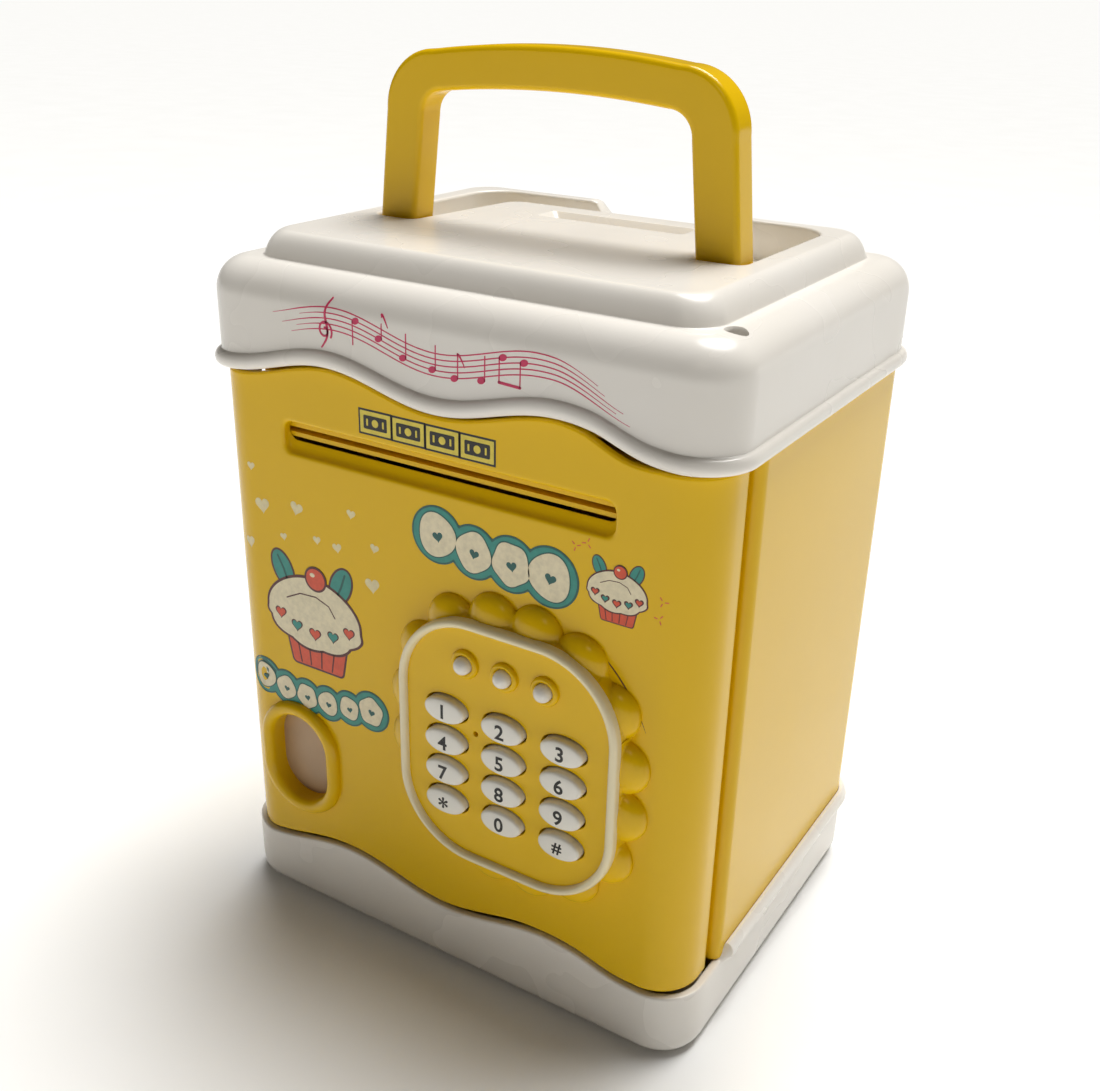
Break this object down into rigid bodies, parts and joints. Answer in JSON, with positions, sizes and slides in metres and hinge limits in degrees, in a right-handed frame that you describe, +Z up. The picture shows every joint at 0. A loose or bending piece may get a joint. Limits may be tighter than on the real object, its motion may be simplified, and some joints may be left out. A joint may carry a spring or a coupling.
{
  "type": "toy safe coin bank",
  "caption": "Toy safe money box with hinged keypad door, note feeder slot, coin slot, finger window, wavy white cover and base, and a folding carrying handle.",
  "frame": {"origin": "centre of the flat underside of the base", "axes": "+X to the right of someone facing the door, -Y out of the door, +Z up"},
  "size_m": [0.1324, 0.1114, 0.2075],
  "materials": {
    "yellow_shell": "glossy moulded ABS",
    "white_shell": "glossy moulded ABS, warm white",
    "lamp_lens": "frosted translucent lens",
    "cloudy_lens": "cloudy clear plastic",
    "steel": "zinc plated",
    "rubber": "matt",
    "circuit_board": "solder resist over glass laminate",
    "dark_plastic": "moulded, matt",
    "white_gear": "moulded acetal",
    "cell_can": "printed sleeve on a steel can"
  },
  "bodies": {
    "case": {"base_tray": "white_shell", "body_shell": "yellow_shell", "latch_keeper": "yellow_shell", "top_cover": "white_shell", "coin_chute": "white_shell", "cover_screws": "steel", "base_screws": "steel", "upper_hinge_pin": "steel", "lower_hinge_pin": "steel", "handle_pins": "steel"},
    "handle": {"handle": "yellow_shell"},
    "door": {"door_panel": "yellow_shell", "keypad_bezel": "yellow_shell", "trim_ring": "white_shell", "indicator_left": "lamp_lens", "indicator_middle": "lamp_lens", "indicator_right": "lamp_lens", "keypad_membrane": "rubber", "main_board": "circuit_board", "finger_lens": "cloudy_lens", "finger_lamp_board": "circuit_board", "note_guide_lower": "dark_plastic", "note_guide_upper": "dark_plastic", "feed_motor": "steel", "door_inner_cover": "yellow_shell", "speaker": "dark_plastic", "battery_cells": "cell_can", "battery_contacts": "steel", "lock_solenoid": "steel", "latch_spring": "steel", "door_screws": "steel", "board_screws": "steel"},
    "drive_roller": {"drive_roller_shaft": "steel", "drive_rollers": "rubber", "drive_gear": "white_gear"},
    "pinch_roller": {"pinch_roller_shaft": "steel", "pinch_rollers": "rubber"},
    "motor_rotor": {"motor_pinion": "steel"},
    "latch": {"latch_bolt": "white_shell"},
    "battery_hatch": {"battery_cover": "yellow_shell"},
    "key_cap_1": {"key_1": "white_shell"},
    "key_cap_2": {"key_2": "white_shell"},
    "key_cap_3": {"key_3": "white_shell"},
    "key_cap_4": {"key_4": "white_shell"},
    "key_cap_5": {"key_5": "white_shell"},
    "key_cap_6": {"key_6": "white_shell"},
    "key_cap_7": {"key_7": "white_shell"},
    "key_cap_8": {"key_8": "white_shell"},
    "key_cap_9": {"key_9": "white_shell"},
    "key_cap_star": {"key_star": "white_shell"},
    "key_cap_0": {"key_0": "white_shell"},
    "key_cap_hash": {"key_hash": "white_shell"}
  },
  "joints": [
    {"name": "door_hinge", "type": "hinge", "parent": "case", "child": "door", "pos_m": [0.0583, -0.0385, 0.08], "axis": [0, 0, 1], "range_deg": [0, 90]},
    {"name": "handle_fold", "type": "hinge", "parent": "case", "child": "handle", "pos_m": [0, -0.007, 0.1645], "axis": [-1, 0, 0], "range_deg": [0, 90]},
    {"name": "drive_roller_spin", "type": "hinge", "parent": "door", "child": "drive_roller", "pos_m": [0, -0.038, 0.12395], "axis": [1, 0, 0], "continuous": true},
    {"name": "pinch_roller_spin", "type": "hinge", "parent": "door", "child": "pinch_roller", "pos_m": [0, -0.038, 0.13085], "axis": [1, 0, 0], "continuous": true},
    {"name": "motor_spin", "type": "hinge", "parent": "door", "child": "motor_rotor", "pos_m": [0.043, -0.038, 0.11185], "axis": [1, 0, 0], "continuous": true},
    {"name": "latch_slide", "type": "slide", "parent": "door", "child": "latch", "axis": [-1, 0, 0], "range_m": [0, 0.004]},
    {"name": "battery_cover_slide", "type": "slide", "parent": "door", "child": "battery_hatch", "axis": [0, 1, 0], "range_m": [0, 0.02]},
    {"name": "key_1_press", "type": "slide", "parent": "door", "child": "key_cap_1", "axis": [0, 1, 0], "range_m": [0, 0.0015], "stiffness_N_per_m": 400, "springref_m": -0.0005},
    {"name": "key_2_press", "type": "slide", "parent": "door", "child": "key_cap_2", "axis": [0, 1, 0], "range_m": [0, 0.0015], "stiffness_N_per_m": 400, "springref_m": -0.0005},
    {"name": "key_3_press", "type": "slide", "parent": "door", "child": "key_cap_3", "axis": [0, 1, 0], "range_m": [0, 0.0015], "stiffness_N_per_m": 400, "springref_m": -0.0005},
    {"name": "key_4_press", "type": "slide", "parent": "door", "child": "key_cap_4", "axis": [0, 1, 0], "range_m": [0, 0.0015], "stiffness_N_per_m": 400, "springref_m": -0.0005},
    {"name": "key_5_press", "type": "slide", "parent": "door", "child": "key_cap_5", "axis": [0, 1, 0], "range_m": [0, 0.0015], "stiffness_N_per_m": 400, "springref_m": -0.0005},
    {"name": "key_6_press", "type": "slide", "parent": "door", "child": "key_cap_6", "axis": [0, 1, 0], "range_m": [0, 0.0015], "stiffness_N_per_m": 400, "springref_m": -0.0005},
    {"name": "key_7_press", "type": "slide", "parent": "door", "child": "key_cap_7", "axis": [0, 1, 0], "range_m": [0, 0.0015], "stiffness_N_per_m": 400, "springref_m": -0.0005},
    {"name": "key_8_press", "type": "slide", "parent": "door", "child": "key_cap_8", "axis": [0, 1, 0], "range_m": [0, 0.0015], "stiffness_N_per_m": 400, "springref_m": -0.0005},
    {"name": "key_9_press", "type": "slide", "parent": "door", "child": "key_cap_9", "axis": [0, 1, 0], "range_m": [0, 0.0015], "stiffness_N_per_m": 400, "springref_m": -0.0005},
    {"name": "key_star_press", "type": "slide", "parent": "door", "child": "key_cap_star", "axis": [0, 1, 0], "range_m": [0, 0.0015], "stiffness_N_per_m": 400, "springref_m": -0.0005},
    {"name": "key_0_press", "type": "slide", "parent": "door", "child": "key_cap_0", "axis": [0, 1, 0], "range_m": [0, 0.0015], "stiffness_N_per_m": 400, "springref_m": -0.0005},
    {"name": "key_hash_press", "type": "slide", "parent": "door", "child": "key_cap_hash", "axis": [0, 1, 0], "range_m": [0, 0.0015], "stiffness_N_per_m": 400, "springref_m": -0.0005}
  ],
  "couplings": [
    {"joint": "pinch_roller_spin", "follows": "drive_roller_spin", "ratio": -1.2},
    {"joint": "motor_spin", "follows": "drive_roller_spin", "ratio": -3}
  ]
}
